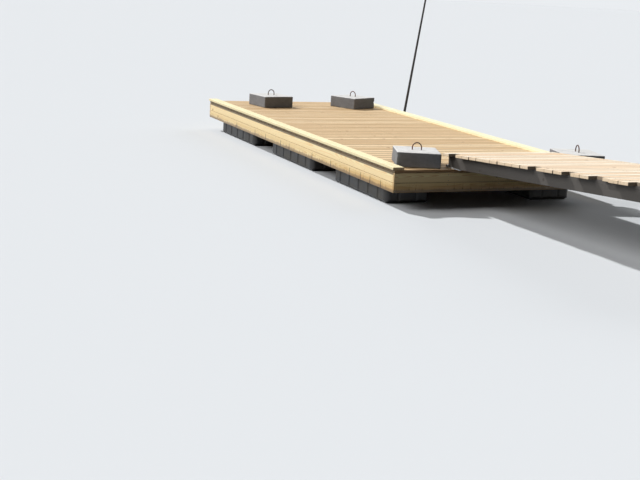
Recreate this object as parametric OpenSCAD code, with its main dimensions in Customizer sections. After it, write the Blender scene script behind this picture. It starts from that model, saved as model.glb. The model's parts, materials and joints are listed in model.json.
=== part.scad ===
// Floating wooden jetty: a decked pontoon on six plastic floats, four concrete mooring weights
// standing on its deck, a mooring pole in a side bracket, and a gangway hinged to the near end.
// The pontoon's length runs along Y, its near (shore) end towards -Y. Z is up, from the float bottoms.

/* [Pontoon] */
// Width over the two edge trims
pontoon_w = 2400; // [2250:10:3000]
// Number of boards along the deck, in three equal groups
deck_boards = 45; // [42:3:60]
// Width of a deck or gangway board
board_w = 120; // [95:1:145]
// Gap between neighbouring boards
board_gap = 5; // [3:1:10]
// Thickness of a deck or gangway board
board_t = 28; // [22:1:40]
// Width of the trim board laid along each long edge
trim_w = 120; // [95:1:145]
// Thickness of the trim board
trim_t = 28; // [20:1:40]
// How far the trim stands out past the board ends
trim_overhang = 18; // [5:1:35]

/* [Frame] */
// Thickness of a joist, end beam or blocking piece
joist_t = 48; // [36:1:60]
// Depth of a joist, end beam or blocking piece
joist_h = 148; // [123:1:198]
// Thickness of a fascia board
fascia_t = 22; // [16:1:32]
// Height of one of the two fascia boards
fascia_h = 95; // [80:1:110]
// Gap over each fascia board
fascia_gap = 3; // [2:1:8]

/* [Floats] */
// Length of a float's body
float_l = 1250; // [900:10:1400]
// How far a float reaches below the joists
float_below = 220; // [150:5:300]
// Gap from a float's body to the joists beside it
float_side_gap = 10; // [4:1:20]
// Gap from a float's top to the deck boards
float_top_gap = 12; // [4:1:25]
// Corner radius of a float seen from above
float_corner_r = 60; // [30:5:90]
// Chamfer round a float's bottom
float_chamfer = 35; // [15:1:60]
// Thickness of the flange that is bolted up to the joists
float_flange_t = 20; // [12:1:30]
// How far the flange stands out from the body
float_flange_w = 34; // [25:1:45]
// Radius of the upright grooves in a float's sides
float_groove_r = 22; // [10:1:30]

/* [Mooring weights] */
// Side of a square mooring weight
weight_side = 440; // [400:5:460]
// Height of a mooring weight
weight_h = 150; // [120:5:200]
// Chamfer on a weight's edges
weight_chamfer = 9; // [4:1:20]
// Diameter of the bar bent into the lifting loop
loop_d = 12; // [8:1:16]
// Width over the lifting loop
loop_w = 104; // [80:2:140]
// Height of the lifting loop over the weight
loop_h = 76; // [66:2:110]
// Depth of the loop's legs in the weight
loop_set = 80; // [50:5:100]
// Distance of the near left weight's nearest corner from the near end
near_left_in = 23; // [0:1:200]
// Distance of the near right weight's middle from the near end
near_right_in = 100; // [60:5:300]
// How far the near right weight stands out past the trim's line
near_right_out = 54; // [0:1:80]
// Distance of the far left weight's middle from the far end
far_left_in = 534; // [400:2:900]
// Gap from the left trim to the far left weight
far_left_gap = 337; // [20:1:400]
// Distance of the far right weight's middle from the far end
far_right_in = 576; // [400:2:900]
// Gap from the right trim to the far right weight
far_right_gap = 65; // [20:1:300]

/* [Gangway] */
// Number of boards along the gangway, in three equal groups
gangway_boards = 30; // [24:6:42]
// Length of a gangway board
gangway_board_l = 1315; // [1200:5:1340]
// Shift of the gangway's centre line from the pontoon's
gangway_shift = 57; // [45:1:65]
// Slope of the gangway, rising towards the shore
gangway_rise = 4.6; // [3.5:0.1:7]
// Thickness of a stringer
stringer_t = 48; // [40:1:60]
// Depth of a stringer
stringer_h = 123; // [115:1:145]
// Depth of a stringer left over its level seat
stringer_seat_h = 105; // [90:1:108]
// Overhang of the boards past the outer stringers
board_overhang = 75; // [50:1:120]
// Depth of the noggins between the stringers
noggin_h = 84; // [60:1:84]
// How much the boards sawn short lack
short_cut = 45; // [20:1:60]

/* [Hinges] */
// Distance of the hinge pins from the pontoon's near end
pin_in = 150; // [120:1:180]
// Thickness of the hinge plates
leaf_t = 6; // [5:0.5:8]
// Width of the hinge plates
leaf_w = 50; // [44:1:60]
// How far the strap under each outer stringer stops short of its seat's end
strap_short = 5; // [0:1:60]
// Gap between the closed plates
leaf_gap = 0.5; // [0.3:0.1:1]
// Outer diameter of the knuckles
knuckle_d = 26; // [24:1:30]
// Gap between neighbouring knuckles
knuckle_gap = 1; // [0.6:0.1:2]
// Diameter of a hinge pin
pin_d = 14; // [10:1:16]

/* [Mooring pole] */
// Diameter of the mooring pole up to deck height
pole_d = 36; // [30:1:48]
// Diameter of the pole's tip
pole_tip_d = 21; // [14:1:28]
// Height of the pole over the deck
pole_up = 1950; // [1200:10:2600]
// Lean of the pole
pole_lean = 6.4; // [0:0.2:8]
// Turn of the lean from straight across the deck towards the shore
pole_lean_turn = 28; // [0:1:45]
// Distance of the pole from the near end
pole_from_end = 4540; // [4000:10:5000]
// Distance from the trim's edge to the pole's centre at deck height
pole_out = 90; // [70:1:140]
// Height of the bracket's sleeve
sleeve_h = 60; // [40:1:80]

/* [Hidden] */
$fn = 48;

// What a moving knuckle or plate clears the fixed ones by, and a pin its hole
knuckle_clear = 2;
pin_clear = 0.05;
// Cuts reach past the faces that they open by this much
past = 5;

// Heights
deck_top = float_below + joist_h + board_t;
joist_bottom = float_below;
board_bottom = deck_top - board_t;

// Plan of the pontoon, from the middle of its near end
board_pitch = board_w + board_gap;
pontoon_l = deck_boards * board_pitch - board_gap;
deck_w = pontoon_w - 2 * trim_overhang;
frame_w = deck_w - 2 * fascia_t;
joist_clear = (frame_w - 5 * joist_t) / 4;
joist_pitch = joist_clear + joist_t;
joist_l = pontoon_l - 2 * (fascia_t + joist_t);

// Gangway: the hinge pins' axis, the level seat and the stringers' top at their inner end
pin_z = deck_top + knuckle_d / 2 + 1;
seat_z = deck_top + 2 * leaf_t + leaf_gap;
stringer_end_y = pin_in - knuckle_d / 2 - 9;
stringer_top_z = seat_z + stringer_seat_h;
gangway_l = gangway_boards * board_pitch - board_gap;
stringer_x = gangway_board_l / 2 - board_overhang - stringer_t / 2;

// The level seat runs from a stringer's inner end to where its lower edge slopes up from it
seat_l = (stringer_h * cos(gangway_rise) - stringer_seat_h) / tan(gangway_rise) + stringer_h * sin(gangway_rise);
strap_l = pin_in - stringer_end_y + seat_l - strap_short;

// Mooring pole: its centre at deck height, its direction and its lowest point
pole_x = pontoon_w / 2 + pole_out;
pole_r = pole_d / 2;
pole_run = sin(pole_lean);
pole_rise = cos(pole_lean);
pole_foot_z = pole_r * pole_run;
pole_foot_l = (deck_top - pole_foot_z) / pole_rise;
pole_top_l = pole_up / pole_rise;

// The origin lies under the middle of the whole jetty's plan
left_edge = -pontoon_w / 2;
right_edge = pole_x + pole_top_l * pole_run * cos(pole_lean_turn)
    + pole_tip_d / 2 * sqrt(1 - pow(pole_run * cos(pole_lean_turn), 2));
shore_edge = stringer_end_y - gangway_l * cos(gangway_rise)
    - stringer_h * sin(gangway_rise);
middle_x = (left_edge + right_edge) / 2;
middle_y = (shore_edge + pontoon_l) / 2;

wood_deck = [0.93, 0.80, 0.60];
wood_trim = [0.98, 0.92, 0.74];
wood_fascia = [0.95, 0.84, 0.66];
wood_gangway = [0.95, 0.84, 0.72];
wood_frame = [0.72, 0.60, 0.44];
concrete = [0.62, 0.62, 0.60];
galvanised = [0.72, 0.74, 0.76];
dark_steel = [0.22, 0.19, 0.17];
tarred_wood = [0.16, 0.14, 0.13];
float_plastic = [0.16, 0.17, 0.18];

module placed() {
    translate([-middle_x, -middle_y, 0]) children();
}

// A board, beam or plate centred on x, from its y and z edges
module beam(x, y, z, size) {
    translate([x - size[0] / 2, y, z]) cube(size);
}

// Edge trims, laid over the ends of the deck boards from a distance to the far end
module trim(side, from) {
    color(wood_trim) placed()
        beam(side * (pontoon_w - trim_w) / 2, from, deck_top, [trim_w, pontoon_l - from, trim_t]);
}

// One third of the deck's boards
module deck_group(first) {
    count = deck_boards / 3;
    color(wood_deck) placed()
        for (i = [first * count : (first + 1) * count - 1])
            beam(0, i * board_pitch, board_bottom, [deck_w, board_w, board_t]);
}

// Fascia boards: row 0 is the upper one, row 1 the lower
function fascia_z(row) = board_bottom - (row + 1) * (fascia_h + fascia_gap);

module side_fascia(side, row) {
    color(wood_fascia) placed()
        beam(side * (deck_w - fascia_t) / 2, fascia_t, fascia_z(row),
            [fascia_t, pontoon_l - 2 * fascia_t, fascia_h]);
}

module end_fascia(y) {
    color(wood_fascia) placed()
        for (row = [0, 1])
            beam(0, y, fascia_z(row), [deck_w, fascia_t, fascia_h]);
}

// Frame
module joist(place) {
    beam(place * joist_pitch, fascia_t + joist_t, joist_bottom, [joist_t, joist_l, joist_h]);
}

module side_joist(side) {
    color(wood_frame) placed() joist(side * 2);
}

module inner_joists() {
    color(wood_frame) placed()
        for (place = [-1 : 1]) joist(place);
}

module end_beam(y) {
    color(wood_frame) placed() beam(0, y, joist_bottom, [frame_w, joist_t, joist_h]);
}

// Blocking between the joists, in the gaps between the floats
module blocking() {
    color(wood_frame) placed()
        for (place = [-1.5 : 1.5], third = [1, 2])
            beam(place * joist_pitch, pontoon_l * third / 3 - joist_t / 2, joist_bottom,
                [joist_clear, joist_t, joist_h]);
}

// Floats: a grooved, chamfered body between two joists, bolted up by its flange
float_w = joist_clear - 2 * float_side_gap;
float_h = board_bottom - float_top_gap;

module rounded_plate(w, l, r, t) {
    linear_extrude(t) {
        square([w - 2 * r, l], center = true);
        square([w, l - 2 * r], center = true);
        for (x = [-1, 1], y = [-1, 1]) translate([x * (w / 2 - r), y * (l / 2 - r)]) circle(r);
    }
}

// An outline as wide as the body, with its two lower corners cut off
module chamfered_section(w) {
    polygon([[-w / 2, float_h], [-w / 2, float_chamfer], [-w / 2 + float_chamfer, 0],
        [w / 2 - float_chamfer, 0], [w / 2, float_chamfer], [w / 2, float_h]]);
}

module float_body() {
    groove_step = (float_l - 2 * float_corner_r) / 5;
    difference() {
        intersection() {
            rounded_plate(float_w, float_l, float_corner_r, float_h);
            rotate([90, 0, 0]) linear_extrude(float_l, center = true) chamfered_section(float_w);
            rotate([90, 0, 90]) linear_extrude(float_w, center = true) chamfered_section(float_l);
        }
        for (side = [-1, 1], i = [-2 : 2])
            translate([side * (float_w / 2 + float_groove_r / 2), i * groove_step, -past])
                cylinder(r = float_groove_r, h = float_h + 2 * past);
        for (end = [-1, 1], i = [-1, 1])
            translate([i * float_w / 5, end * (float_l / 2 + float_groove_r / 2), -past])
                cylinder(r = float_groove_r, h = float_h + 2 * past);
    }
}

module float_at(side, row) {
    flange_w = float_w + 2 * float_flange_w;
    flange_l = float_l + 2 * float_flange_w;
    color(float_plastic) placed()
        translate([side * 1.5 * joist_pitch, pontoon_l * (row + 0.5) / 3, 0]) {
            float_body();
            translate([0, 0, joist_bottom - float_flange_t])
                rounded_plate(flange_w, flange_l, float_corner_r + float_flange_w, float_flange_t);
        }
}

// Gangway boards' two ends, and how far in their inner edge swings as the gangway is turned up
gangway_left = gangway_shift - gangway_board_l / 2;
gangway_right = gangway_shift + gangway_board_l / 2;
gangway_turn = 12;
swing_y = pin_in + (stringer_end_y + board_t * sin(gangway_rise) - pin_in) * cos(gangway_turn)
    + (stringer_top_z + board_t * cos(gangway_rise) - pin_z) * sin(gangway_turn);

// Half the width of a turned weight's plan, and the place of one beside a trim
function reach(turn) = weight_side / 2 * (abs(cos(turn)) + abs(sin(turn)));
function beside_trim(turn, gap) = pontoon_w / 2 - trim_w - gap - reach(turn);

// Mooring weights: across and along from the middle of the near end, and their turn. The near left one
// stands beside its trim or, where its nearest corner would meet the gangway, as far in as clears it.
// The near right one stands out over the deck's corner, beside the gangway.
weight_clear = 5;
near_left_turn = -21;
near_left_x = -beside_trim(near_left_turn, weight_clear);
near_left_corner = near_left_x + weight_side / 2 * (cos(near_left_turn) + sin(near_left_turn));
near_left_y = max(near_left_in, min(swing_y + weight_clear,
    swing_y + (gangway_left - weight_clear - near_left_corner) / tan(near_left_turn)));
near_left_at = [near_left_x, near_left_y + reach(near_left_turn), near_left_turn];
near_right_turn = 76;
near_right_x = max(pontoon_w / 2 + near_right_out - reach(near_right_turn),
    gangway_right + weight_clear + reach(near_right_turn));
near_right_at = [near_right_x, near_right_in, near_right_turn];
far_left_turn = 9;
far_left_at = [-beside_trim(far_left_turn, far_left_gap), pontoon_l - far_left_in, far_left_turn];
far_right_turn = -65;
far_right_at = [beside_trim(far_right_turn, far_right_gap), pontoon_l - far_right_in, far_right_turn];

// The right trim starts where the near right weight ends
right_trim_from = near_right_at[1] + reach(near_right_turn) + weight_clear;

loop_r = (loop_w - loop_d) / 2;
socket_clear = 0.2;

module on_deck(at) {
    placed() translate([at[0], at[1], deck_top]) rotate([0, 0, at[2]]) children();
}

// A square with its corners cut off
module chamfered_square(w, h, cut) {
    polygon([[-w / 2 + cut, 0], [w / 2 - cut, 0], [w / 2, cut], [w / 2, h - cut],
        [w / 2 - cut, h], [-w / 2 + cut, h], [-w / 2, h - cut], [-w / 2, cut]]);
}

module weight(at) {
    color(concrete) on_deck(at) difference() {
        intersection() {
            rotate([90, 0, 0]) linear_extrude(weight_side, center = true)
                chamfered_square(weight_side, weight_h, weight_chamfer);
            rotate([90, 0, 90]) linear_extrude(weight_side, center = true)
                chamfered_square(weight_side, weight_h, weight_chamfer);
            translate([0, -weight_side / 2, 0]) linear_extrude(weight_h)
                chamfered_square(weight_side, weight_side, weight_chamfer);
        }
        for (side = [-1, 1])
            translate([side * loop_r, 0, weight_h - loop_set])
                cylinder(d = loop_d + 2 * socket_clear, h = loop_set + past);
    }
}

module lifting_loop(at) {
    straight = loop_h - loop_w / 2;
    color(dark_steel) on_deck(at) translate([0, 0, weight_h]) {
        for (side = [-1, 1])
            translate([side * loop_r, 0, -loop_set]) cylinder(d = loop_d, h = loop_set + straight);
        translate([0, 0, straight]) rotate([90, 0, 0])
            rotate_extrude(angle = 180) translate([loop_r, 0]) circle(d = loop_d, $fn = 24);
    }
}

// Hinges: two outer knuckles on the leaf that is bolted to the deck, one on the strap
knuckle_l = (leaf_w - 2 * knuckle_gap) / 3;

module at_hinge(side) {
    placed() translate([gangway_shift + side * stringer_x, pin_in, deck_top]) children();
}

module knuckle(place) {
    translate([place * (knuckle_l + knuckle_gap) - knuckle_l / 2, 0, pin_z - deck_top])
        rotate([0, 90, 0]) cylinder(d = knuckle_d, h = knuckle_l);
}

module pin_hole() {
    translate([-leaf_w / 2 - past, 0, pin_z - deck_top]) rotate([0, 90, 0])
        cylinder(r = pin_d / 2 + pin_clear, h = leaf_w + 2 * past);
}

module hinge_leaf(side) {
    clear = knuckle_d / 2 + knuckle_clear;
    color(galvanised) at_hinge(side) difference() {
        union() {
            knuckle(-1);
            knuckle(1);
            beam(0, -pin_in, 0, [leaf_w, pin_in, leaf_t]);
        }
        pin_hole();
        beam(0, -clear, -past, [knuckle_l + 2 * knuckle_gap, clear + past, leaf_t + 2 * past]);
    }
}

module hinge_strap(side) {
    clear = knuckle_d / 2 + knuckle_clear;
    strap_z = leaf_t + leaf_gap;
    color(galvanised) at_hinge(side) difference() {
        union() {
            knuckle(0);
            beam(0, -strap_l, strap_z, [leaf_w, strap_l - clear, leaf_t]);
            beam(0, -clear - 1, strap_z, [knuckle_l, clear + 1, leaf_t]);
        }
        pin_hole();
    }
}

module hinge_pins() {
    head_t = 4;
    color(dark_steel) for (side = [-1, 1])
        at_hinge(side) translate([0, 0, pin_z - deck_top]) rotate([0, 90, 0]) {
            cylinder(d = pin_d, h = leaf_w + 2, center = true);
            for (end = [-1, 1])
                translate([0, 0, end * (leaf_w / 2 + 1 + head_t / 2)])
                    cylinder(d = pin_d + 8, h = head_t, center = true);
        }
}

// Gangway: everything in on_slope lies along the stringers' top edge, from its inner end towards -Y
module on_slope() {
    placed() translate([gangway_shift, stringer_end_y, stringer_top_z])
        rotate([-gangway_rise, 0, 0]) children();
}

module stringer(place) {
    color(wood_gangway * 0.8) difference() {
        on_slope() beam(place * stringer_x, -gangway_l, -stringer_h,
            [stringer_t, gangway_l, stringer_h]);
        placed() beam(gangway_shift + place * stringer_x, pin_in - gangway_l, 0,
            [stringer_t + 2 * past, gangway_l, seat_z]);
    }
}

module gangway_noggins() {
    bays = 6;
    gap = stringer_x - stringer_t;
    color(wood_gangway * 0.75) on_slope()
        for (side = [-0.5, 0.5], bay = [0 : bays])
            beam(side * stringer_x, -(gangway_l - stringer_t) * bay / bays - stringer_t, -noggin_h,
                [gap, stringer_t, noggin_h]);
}

// How far each gangway board's near end is sawn back: mostly a few millimetres, some much more
function cut_back(i) =
    (i == 1 || i == 12 || i == 16 || i == 19 || i == 23) ? short_cut
    : (i == 20 || i == 24) ? short_cut / 2
    : 4 + 4 * sin(i * 97);

module gangway_board(i) {
    back = cut_back(i);
    translate([back / 2, 0, 0])
        beam(0, -(i + 1) * board_pitch + board_gap, 0, [gangway_board_l - back, board_w, board_t]);
}

module gangway_group(first) {
    count = gangway_boards / 3;
    color(wood_gangway) on_slope()
        for (i = [first * count : (first + 1) * count - 1]) gangway_board(i);
}

// Mooring pole, leaning outwards through a sleeve on the pontoon's right side and tapered over the deck
module on_pole() {
    placed() translate([pole_x, pole_from_end, deck_top])
        rotate([0, 0, -pole_lean_turn]) rotate([0, pole_lean, 0]) children();
}

module mooring_pole() {
    color(tarred_wood) on_pole() rotate_extrude()
        polygon([[0, -pole_foot_l], [pole_r, -pole_foot_l], [pole_r, 0],
            [pole_tip_d / 2, pole_top_l], [0, pole_top_l]]);
}

module mooring_bracket() {
    plate_t = 8;
    plate_w = 110;
    sleeve_t = 6;
    sleeve_r = pole_r + 0.3 + sleeve_t;
    sleeve_z = board_bottom - fascia_gap - fascia_h / 2 - deck_top;
    arm_l = pole_out + trim_overhang - plate_t / 2;
    color(galvanised) difference() {
        union() {
            placed() beam(deck_w / 2 + plate_t / 2, pole_from_end - plate_w / 2,
                board_bottom - fascia_gap - fascia_h, [plate_t, plate_w, fascia_h]);
            placed() beam(deck_w / 2 + arm_l / 2, pole_from_end - plate_t,
                deck_top + sleeve_z - plate_t, [arm_l, 2 * plate_t, 2 * plate_t]);
            on_pole() translate([0, 0, sleeve_z - sleeve_h / 2]) cylinder(r = sleeve_r, h = sleeve_h);
        }
        on_pole() translate([0, 0, sleeve_z - sleeve_h]) cylinder(r = pole_r + 0.3, h = 2 * sleeve_h);
    }
}

trim(-1, 0);  // left_trim
trim(1, right_trim_from);  // right_trim
deck_group(0);  // deck_boards_near
deck_group(1);  // deck_boards_middle
deck_group(2);  // deck_boards_far
side_fascia(-1, 0);  // left_fascia_upper
side_fascia(-1, 1);  // left_fascia_lower
side_fascia(1, 0);  // right_fascia_upper
side_fascia(1, 1);  // right_fascia_lower
end_fascia(0);  // near_fascia
end_fascia(pontoon_l - fascia_t);  // far_fascia
side_joist(-1);  // side_joist_left
side_joist(1);  // side_joist_right
inner_joists();
end_beam(fascia_t);  // near_end_beam
end_beam(pontoon_l - fascia_t - joist_t);  // far_end_beam
blocking();
float_at(-1, 0);  // float_left_near
float_at(-1, 1);  // float_left_middle
float_at(-1, 2);  // float_left_far
float_at(1, 0);  // float_right_near
float_at(1, 1);  // float_right_middle
float_at(1, 2);  // float_right_far
weight(near_left_at);  // weight_near_left
weight(near_right_at);  // weight_near_right
weight(far_left_at);  // weight_far_left
weight(far_right_at);  // weight_far_right
lifting_loop(near_left_at);  // loop_near_left
lifting_loop(near_right_at);  // loop_near_right
lifting_loop(far_left_at);  // loop_far_left
lifting_loop(far_right_at);  // loop_far_right
hinge_leaf(-1);  // hinge_leaf_left
hinge_leaf(1);  // hinge_leaf_right
hinge_pins();
mooring_bracket();
mooring_pole();
stringer(-1);  // stringer_left
stringer(0);  // stringer_middle
stringer(1);  // stringer_right
gangway_noggins();
gangway_group(0);  // gangway_boards_inner
gangway_group(1);  // gangway_boards_middle
gangway_group(2);  // gangway_boards_shore
hinge_strap(-1);  // hinge_strap_left
hinge_strap(1);  // hinge_strap_right
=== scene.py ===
"""A floating wooden jetty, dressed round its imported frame.

The pontoon carries planed boards, plastic floats, four cast concrete weights and a mooring pole. A plank
gangway is hinged to its near end. Sizes are in metres, in the frame of the construction: the pontoon runs
along Y, its near end towards -Y, and Z is up from the bottoms of the floats.
"""

import json
import logging
import math
import random
from collections.abc import Iterable, Sequence
from dataclasses import dataclass
from enum import Enum

import bmesh
import bpy
from mathutils import Matrix, Vector, noise

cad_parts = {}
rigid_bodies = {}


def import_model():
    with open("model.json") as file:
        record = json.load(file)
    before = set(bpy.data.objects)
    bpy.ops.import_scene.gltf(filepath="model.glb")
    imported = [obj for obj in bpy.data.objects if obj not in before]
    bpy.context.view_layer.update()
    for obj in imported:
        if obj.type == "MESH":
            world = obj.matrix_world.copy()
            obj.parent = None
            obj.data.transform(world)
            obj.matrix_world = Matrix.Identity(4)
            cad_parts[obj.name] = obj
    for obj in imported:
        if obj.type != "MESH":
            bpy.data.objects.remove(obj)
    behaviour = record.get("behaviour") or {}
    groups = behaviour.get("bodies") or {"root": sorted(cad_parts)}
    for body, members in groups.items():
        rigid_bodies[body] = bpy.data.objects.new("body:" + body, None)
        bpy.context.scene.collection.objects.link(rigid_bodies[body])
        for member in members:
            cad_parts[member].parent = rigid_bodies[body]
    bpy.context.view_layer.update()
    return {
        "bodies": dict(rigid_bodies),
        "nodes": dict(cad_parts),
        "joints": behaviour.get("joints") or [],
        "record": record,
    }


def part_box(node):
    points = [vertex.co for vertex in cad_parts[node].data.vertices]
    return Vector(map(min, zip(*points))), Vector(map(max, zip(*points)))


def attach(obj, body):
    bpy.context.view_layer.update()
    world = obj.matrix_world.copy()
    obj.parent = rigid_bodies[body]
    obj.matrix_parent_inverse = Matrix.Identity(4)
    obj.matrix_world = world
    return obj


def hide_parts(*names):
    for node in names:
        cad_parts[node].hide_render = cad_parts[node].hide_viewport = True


LOG = logging.getLogger("jetty")
# Height of the water's surface that the jetty has floated in
WATER = 0.211

Socket = bpy.types.NodeSocket
Mesh = bmesh.types.BMesh
Corner = bmesh.types.BMVert
Edge = bmesh.types.BMEdge
Colour = tuple[float, float, float]
Feed = Socket | float | Colour


def tone(red: int, green: int, blue: int) -> Colour:
    """Gives the linear colour of a display colour.

    Args:
        red: Red, in steps from 0 to 255.
        green: Green, likewise.
        blue: Blue, likewise.

    Returns:
        The three linear channels.
    """
    return tuple(
        step / 255 / 12.92 if step <= 10 else ((step / 255 + 0.055) / 1.055) ** 2.4
        for step in (red, green, blue)
    )


class Body(Enum):
    """The bodies that pieces ride on."""

    PONTOON = "pontoon"
    GANGWAY = "gangway"


class Shader:
    """A procedural material under construction, with shorthands for its nodes."""

    def __init__(self, name: str, roughness: float, metallic: float = 0.0) -> None:
        """Starts a material.

        Args:
            name: The material's name.
            metallic: How metallic the surface is.
        """
        self.material = bpy.data.materials.new(name)
        self.material.use_nodes = True
        self.tree = self.material.node_tree
        self.surface = self.tree.nodes["Principled BSDF"]
        self.surface.inputs["Roughness"].default_value = roughness
        self.surface.inputs["Metallic"].default_value = metallic
        self.place = self.node("ShaderNodeTexCoord").outputs["Object"]

    def node(self, kind: str, feeds: Iterable[Feed] = (), **settings: object) -> bpy.types.Node:
        """Adds a node.

        Args:
            kind: Its type.
            feeds: What its first sockets are fed with.
            **settings: Its properties, by name.

        Returns:
            The node.
        """
        made = self.tree.nodes.new(kind)
        for name, value in settings.items():
            setattr(made, name, value)
        for socket, value in zip(made.inputs, feeds):
            self.feed(socket, value)
        return made

    def feed(self, socket: Socket, value: Feed) -> None:
        """Links a socket into another, or sets its value.

        Args:
            socket: The socket that is fed.
            value: What feeds it: a socket, a number or a colour.
        """
        if isinstance(value, Socket):
            self.tree.links.new(value, socket)
        elif socket.type == "RGBA":
            socket.default_value = (*value, 1.0)
        else:
            socket.default_value = value

    def maths(self, operation: str, *values: Feed) -> Socket:
        """Gives the result of a Math node."""
        return self.node("ShaderNodeMath", values, operation=operation).outputs[0]

    def times(self, first: Feed, second: Feed) -> Socket:
        """Gives a product."""
        return self.maths("MULTIPLY", first, second)

    def plus(self, first: Feed, second: Feed) -> Socket:
        """Gives a sum."""
        return self.maths("ADD", first, second)

    def less(self, first: Feed, second: Feed) -> Socket:
        """Gives a difference."""
        return self.maths("SUBTRACT", first, second)

    def scaled(self, value: Feed, factor: Feed, start: Feed) -> Socket:
        """Gives a start plus a value times a factor."""
        return self.maths("MULTIPLY_ADD", value, factor, start)

    def vector(self, operation: str, *values: Feed) -> Socket:
        """Gives the result of a Vector Math node: a vector or a length."""
        made = self.node("ShaderNodeVectorMath", values, operation=operation)
        return made.outputs["Value" if operation == "LENGTH" else "Vector"]

    def split(self, value: Socket) -> list[Socket]:
        """Gives a vector's three parts."""
        return list(self.node("ShaderNodeSeparateXYZ", [value]).outputs)

    def attribute(self, name: str) -> Socket:
        """Gives a mesh attribute's vector."""
        return self.node("ShaderNodeAttribute", attribute_name=name).outputs["Vector"]

    def texture(self, kind: str, place: Feed, stretch: Colour, **settings: object) -> bpy.types.Node:
        """Adds a texture.

        Args:
            kind: Its type.
            place: The place that it is read at.
            stretch: Its lumps or cells per metre along each axis.
            **settings: Its properties, by name.

        Returns:
            The node.
        """
        made = self.node(kind, **settings)
        self.feed(made.inputs["Vector"], self.vector("MULTIPLY", place, stretch))
        made.inputs["Scale"].default_value = 1.0
        return made

    def noise(self, place: Feed, stretch: Colour, detail: float = 2.0) -> bpy.types.Node:
        """Adds a Noise texture.

        Args:
            place: The place that it is read at.
            stretch: Its lumps per metre along each axis.
            detail: How many finer layers it has.

        Returns:
            The node.
        """
        made = self.texture("ShaderNodeTexNoise", place, stretch)
        made.inputs["Detail"].default_value = detail
        return made

    def lumps(self, place: Feed, stretch: Colour, detail: float = 2.0) -> Socket:
        """Gives a Noise texture's value, from 0 to 1, with the sockets of noise()."""
        return self.noise(place, stretch, detail).outputs[0]

    def cells(self, place: Feed, stretch: Colour, flat: bool = False) -> bpy.types.Node:
        """Adds a Voronoi texture, which leaves out the third axis if it is flat."""
        return self.texture(
            "ShaderNodeTexVoronoi", place, stretch, voronoi_dimensions="2D" if flat else "3D"
        )

    def ease(
        self, value: Feed, low: Feed, high: Feed, start: float = 0.0, end: float = 1.0
    ) -> Socket:
        """Gives a smooth step.

        Args:
            value: The value that it follows.
            low: The value at which it begins.
            high: The value at which it is done.
            start: What it gives up to low.
            end: What it gives from high.

        Returns:
            The step.
        """
        feeds = (value, low, high, start, end)
        return self.node("ShaderNodeMapRange", feeds, interpolation_type="SMOOTHSTEP").outputs[0]

    def fade(self, value: Feed, low: Feed, high: Feed, start: float = 1.0) -> Socket:
        """Gives a smooth step down to 0, with the sockets of ease()."""
        return self.ease(value, low, high, start, 0.0)

    def mix(self, share: Feed, first: Feed, second: Feed, way: str = "MIX") -> Socket:
        """Mixes two colours.

        Args:
            share: The second colour's share.
            first: The first colour.
            second: The second colour.
            way: The node's way of mixing.

        Returns:
            The mixed colour.
        """
        made = self.node("ShaderNodeMix", data_type="RGBA", blend_type=way)
        colours = [socket for socket in made.inputs if socket.type == "RGBA"]
        self.feed(made.inputs[0], share)
        self.feed(colours[0], first)
        self.feed(colours[1], second)
        return next(socket for socket in made.outputs if socket.type == "RGBA")

    def grey(self, value: Feed) -> Socket:
        """Gives a grey whose three channels are the value."""
        return self.node("ShaderNodeCombineXYZ", [value] * 3).outputs[0]

    def shaded(self, colour: Feed, pattern: Feed, swing: float, least: float) -> Socket:
        """Shades a colour by a pattern.

        Args:
            colour: The colour.
            pattern: The pattern, from 0 to 1.
            swing: How much brighter the colour is where the pattern is 1.
            least: The share of the colour that is left where the pattern is 0.

        Returns:
            The shaded colour.
        """
        return self.mix(1.0, colour, self.grey(self.scaled(pattern, swing, least)), "MULTIPLY")

    def finish(
        self, colour: Feed, height: Feed, depth: float, roughness: Feed | None = None
    ) -> bpy.types.Material:
        """Links the surface.

        Args:
            colour: The base colour.
            height: The bump's height, from 0 to 1.
            depth: The bump's depth in metres.
            roughness: A pattern of roughness, where there is one.

        Returns:
            The finished material.
        """
        bump = self.node("ShaderNodeBump")
        bump.inputs["Distance"].default_value = depth
        self.feed(bump.inputs["Height"], height)
        self.feed(self.surface.inputs["Base Color"], colour)
        self.feed(self.surface.inputs["Normal"], bump.outputs[0])
        if roughness is not None:
            self.feed(self.surface.inputs["Roughness"], roughness)
        return self.material


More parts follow.
